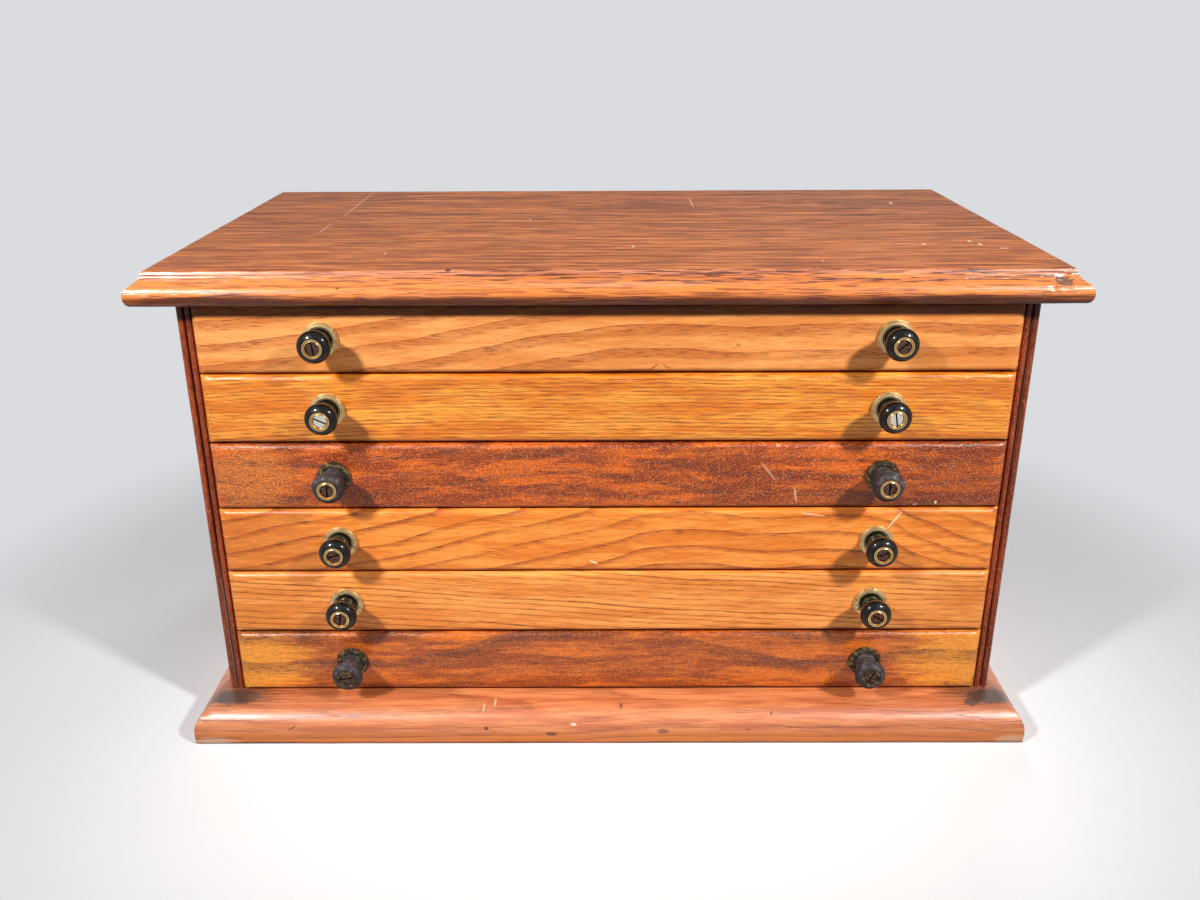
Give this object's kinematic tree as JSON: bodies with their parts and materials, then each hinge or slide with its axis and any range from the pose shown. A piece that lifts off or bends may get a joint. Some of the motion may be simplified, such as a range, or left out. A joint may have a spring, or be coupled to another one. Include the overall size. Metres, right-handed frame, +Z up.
{
  "type": "spool cabinet",
  "caption": "Low oak spool cabinet with moulded top and base boards, reeded side edges and shallow sliding drawers with black turned knobs on brass roses.",
  "frame": {"origin": "centre of the base board's underside, on the surface the cabinet stands on", "axes": "+X along the width, to the right of someone facing the drawers; +Y from the drawer fronts towards the back; +Z up"},
  "size_m": [0.612, 0.3568, 0.3408],
  "materials": {
    "oak_top": "worn dark varnish, dull",
    "oak_base": "worn orange varnish",
    "oak_case": "dark crackled varnish",
    "oak_front_1": "satin varnish, faint grain",
    "oak_front_2": "glossy orange varnish",
    "oak_front_3": "dark alligatored varnish",
    "oak_front_4": "satin varnish, bold grain",
    "oak_front_5": "satin varnish, straight grain",
    "oak_front_6": "alligatored varnish with amber ends",
    "oak_box": "bare, planed",
    "black_knob": "black, polished",
    "brass": "aged, worn bright on the rims"
  },
  "bodies": {
    "case": {"top_board": "oak_top", "base_board": "oak_base", "side_panel_left": "oak_case", "side_panel_right": "oak_case", "back_panel": "oak_case"},
    "drawer_1": {"drawer_1_front": "oak_front_1", "drawer_1_side_left": "oak_box", "drawer_1_side_right": "oak_box", "drawer_1_back": "oak_box", "drawer_1_bottom": "oak_box", "drawer_1_knob_left": "black_knob", "drawer_1_knob_right": "black_knob", "drawer_1_rose_and_screw_left": "brass", "drawer_1_rose_and_screw_right": "brass"},
    "drawer_2": {"drawer_2_front": "oak_front_2", "drawer_2_side_left": "oak_box", "drawer_2_side_right": "oak_box", "drawer_2_back": "oak_box", "drawer_2_bottom": "oak_box", "drawer_2_knob_left": "black_knob", "drawer_2_knob_right": "black_knob", "drawer_2_rose_and_screw_left": "brass", "drawer_2_rose_and_screw_right": "brass"},
    "drawer_3": {"drawer_3_front": "oak_front_3", "drawer_3_side_left": "oak_box", "drawer_3_side_right": "oak_box", "drawer_3_back": "oak_box", "drawer_3_bottom": "oak_box", "drawer_3_knob_left": "black_knob", "drawer_3_knob_right": "black_knob", "drawer_3_rose_and_screw_left": "brass", "drawer_3_rose_and_screw_right": "brass"},
    "drawer_4": {"drawer_4_front": "oak_front_4", "drawer_4_side_left": "oak_box", "drawer_4_side_right": "oak_box", "drawer_4_back": "oak_box", "drawer_4_bottom": "oak_box", "drawer_4_knob_left": "black_knob", "drawer_4_knob_right": "black_knob", "drawer_4_rose_and_screw_left": "brass", "drawer_4_rose_and_screw_right": "brass"},
    "drawer_5": {"drawer_5_front": "oak_front_5", "drawer_5_side_left": "oak_box", "drawer_5_side_right": "oak_box", "drawer_5_back": "oak_box", "drawer_5_bottom": "oak_box", "drawer_5_knob_left": "black_knob", "drawer_5_knob_right": "black_knob", "drawer_5_rose_and_screw_left": "brass", "drawer_5_rose_and_screw_right": "brass"},
    "drawer_6": {"drawer_6_front": "oak_front_6", "drawer_6_side_left": "oak_box", "drawer_6_side_right": "oak_box", "drawer_6_back": "oak_box", "drawer_6_bottom": "oak_box", "drawer_6_knob_left": "black_knob", "drawer_6_knob_right": "black_knob", "drawer_6_rose_and_screw_left": "brass", "drawer_6_rose_and_screw_right": "brass"}
  },
  "joints": [
    {"name": "drawer_1_slide", "type": "slide", "parent": "case", "child": "drawer_1", "axis": [0, -1, 0], "range_m": [0, 0.25]},
    {"name": "drawer_2_slide", "type": "slide", "parent": "case", "child": "drawer_2", "axis": [0, -1, 0], "range_m": [0, 0.25]},
    {"name": "drawer_3_slide", "type": "slide", "parent": "case", "child": "drawer_3", "axis": [0, -1, 0], "range_m": [0, 0.25]},
    {"name": "drawer_4_slide", "type": "slide", "parent": "case", "child": "drawer_4", "axis": [0, -1, 0], "range_m": [0, 0.25]},
    {"name": "drawer_5_slide", "type": "slide", "parent": "case", "child": "drawer_5", "axis": [0, -1, 0], "range_m": [0, 0.25]},
    {"name": "drawer_6_slide", "type": "slide", "parent": "case", "child": "drawer_6", "axis": [0, -1, 0], "range_m": [0, 0.25]}
  ]
}
